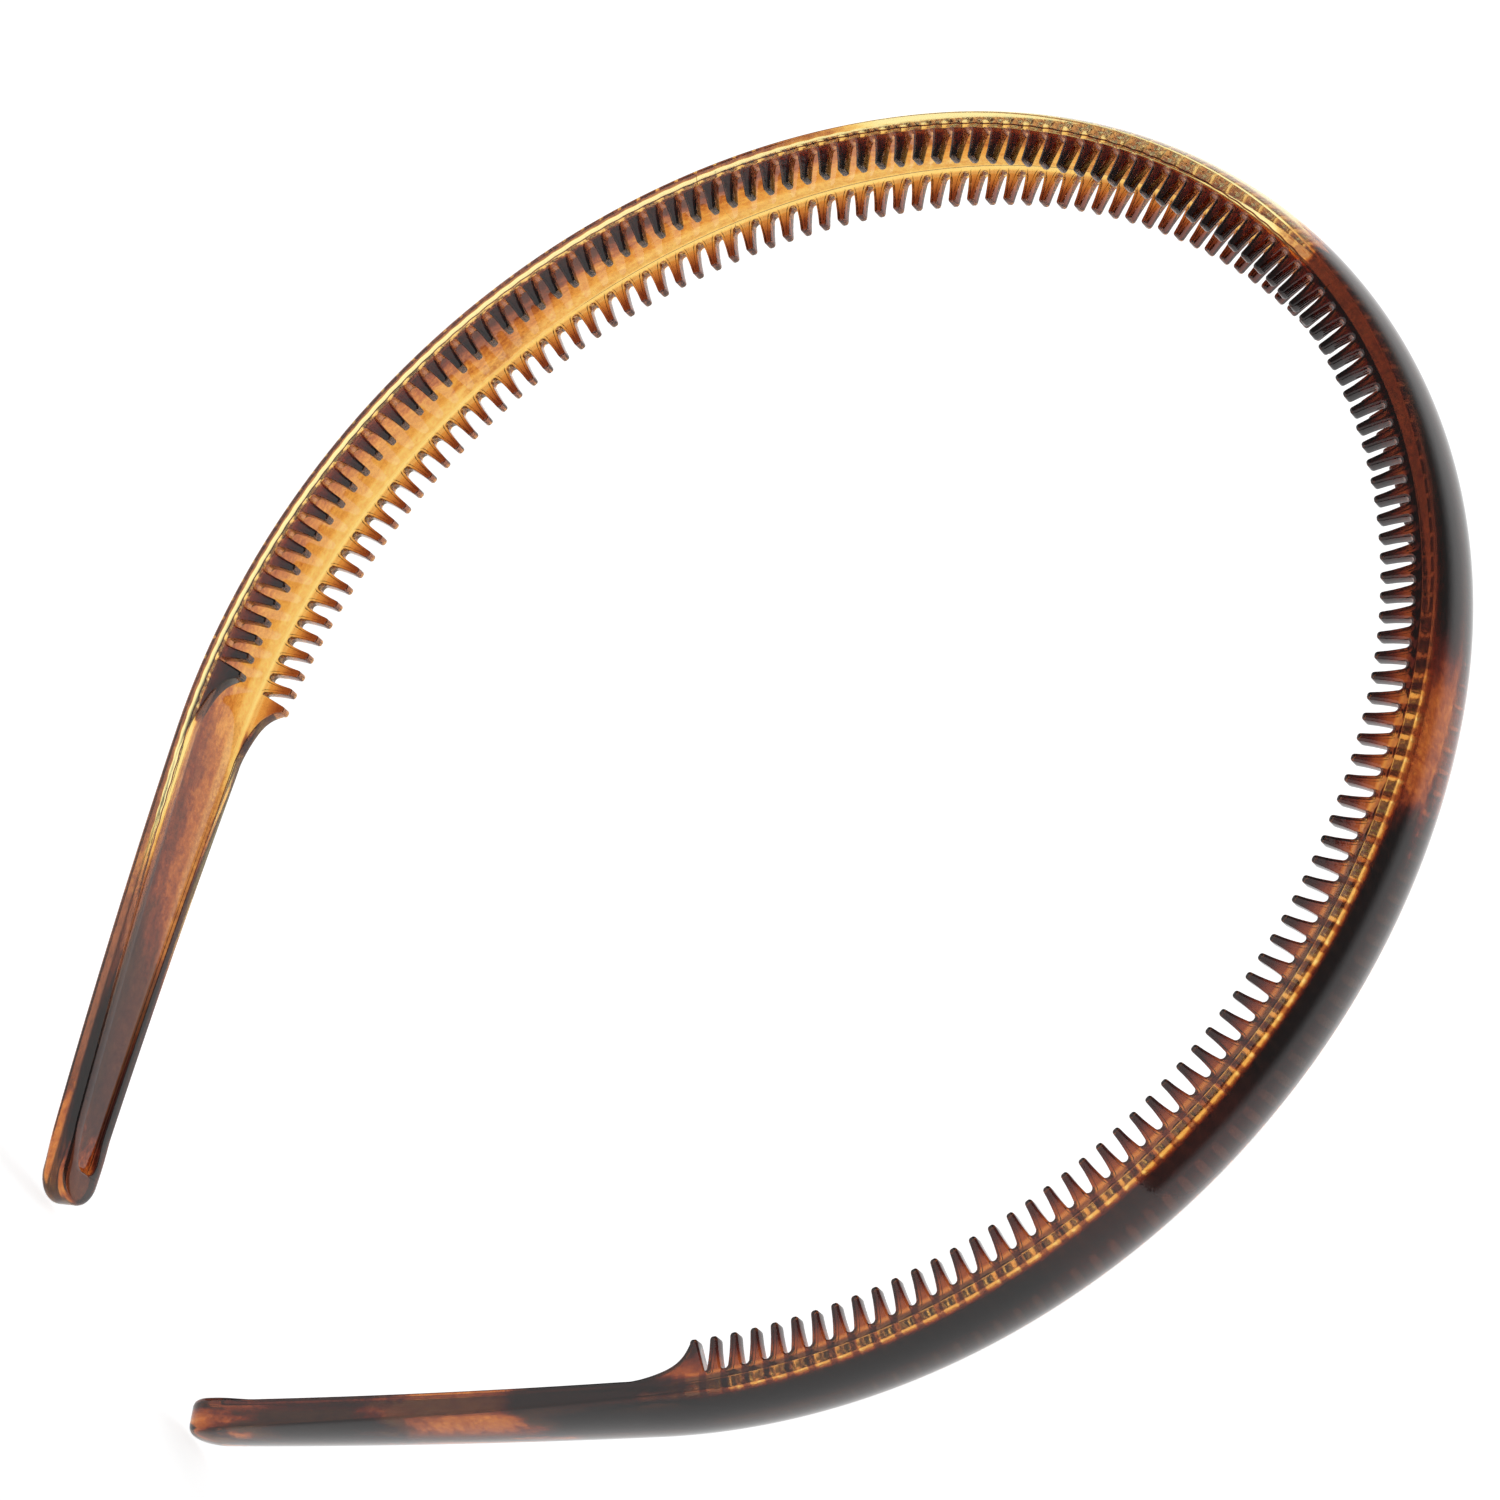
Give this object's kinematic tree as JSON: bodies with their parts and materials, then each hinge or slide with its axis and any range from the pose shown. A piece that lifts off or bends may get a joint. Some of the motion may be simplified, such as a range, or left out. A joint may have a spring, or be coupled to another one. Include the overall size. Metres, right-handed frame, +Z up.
{
  "type": "headband",
  "caption": "Springy plastic headband: a domed C-shaped arch in tortoiseshell colour with a comb of small teeth along each inner edge and plain tapered ends.",
  "frame": {"origin": "midway between the two tips, at their lowest point, on the middle plane of the band", "axes": "+Z up from the tips through the crown, as worn; +X across the head; +Y to the rear comb; the arch is symmetric about X = 0 and Y = 0"},
  "size_m": [0.121, 0.0092, 0.1432],
  "materials": {
    "band_plastic": "polished translucent tortoiseshell, amber to black",
    "comb_plastic": "polished translucent red-brown tortoiseshell",
    "leg_plastic": "polished translucent tortoiseshell, mostly dark"
  },
  "bodies": {
    "crown": {"band_crown": "band_plastic", "comb_front_crown": "comb_plastic", "comb_rear_crown": "comb_plastic"},
    "shoulder_right": {"band_shoulder_right": "band_plastic", "comb_front_shoulder_right": "comb_plastic", "comb_rear_shoulder_right": "comb_plastic"},
    "shoulder_left": {"band_shoulder_left": "band_plastic", "comb_front_shoulder_left": "comb_plastic", "comb_rear_shoulder_left": "comb_plastic"},
    "arm_right": {"band_arm_right": "band_plastic", "comb_front_arm_right": "comb_plastic", "comb_rear_arm_right": "comb_plastic", "leg_right": "leg_plastic"},
    "arm_left": {"band_arm_left": "band_plastic", "comb_front_arm_left": "comb_plastic", "comb_rear_arm_left": "comb_plastic", "leg_left": "leg_plastic"}
  },
  "joints": [
    {"name": "shoulder_right_flex", "type": "hinge", "parent": "crown", "child": "shoulder_right", "pos_m": [0.0286, 0, 0.13563], "axis": [0, -1, 0], "range_deg": [0, 15], "stiffness_Nm_per_rad": 0.44},
    {"name": "arm_right_flex", "type": "hinge", "parent": "shoulder_right", "child": "arm_right", "pos_m": [0.05924, 0, 0.06468], "axis": [0, -1, 0], "range_deg": [0, 15], "stiffness_Nm_per_rad": 0.33},
    {"name": "shoulder_left_flex", "type": "hinge", "parent": "crown", "child": "shoulder_left", "pos_m": [-0.0286, 0, 0.13563], "axis": [0, 1, 0], "range_deg": [0, 15], "stiffness_Nm_per_rad": 0.44},
    {"name": "arm_left_flex", "type": "hinge", "parent": "shoulder_left", "child": "arm_left", "pos_m": [-0.05924, 0, 0.06468], "axis": [0, 1, 0], "range_deg": [0, 15], "stiffness_Nm_per_rad": 0.33}
  ],
  "couplings": [
    {"joint": "arm_right_flex", "follows": "shoulder_right_flex", "ratio": 1},
    {"joint": "arm_left_flex", "follows": "shoulder_left_flex", "ratio": 1}
  ]
}
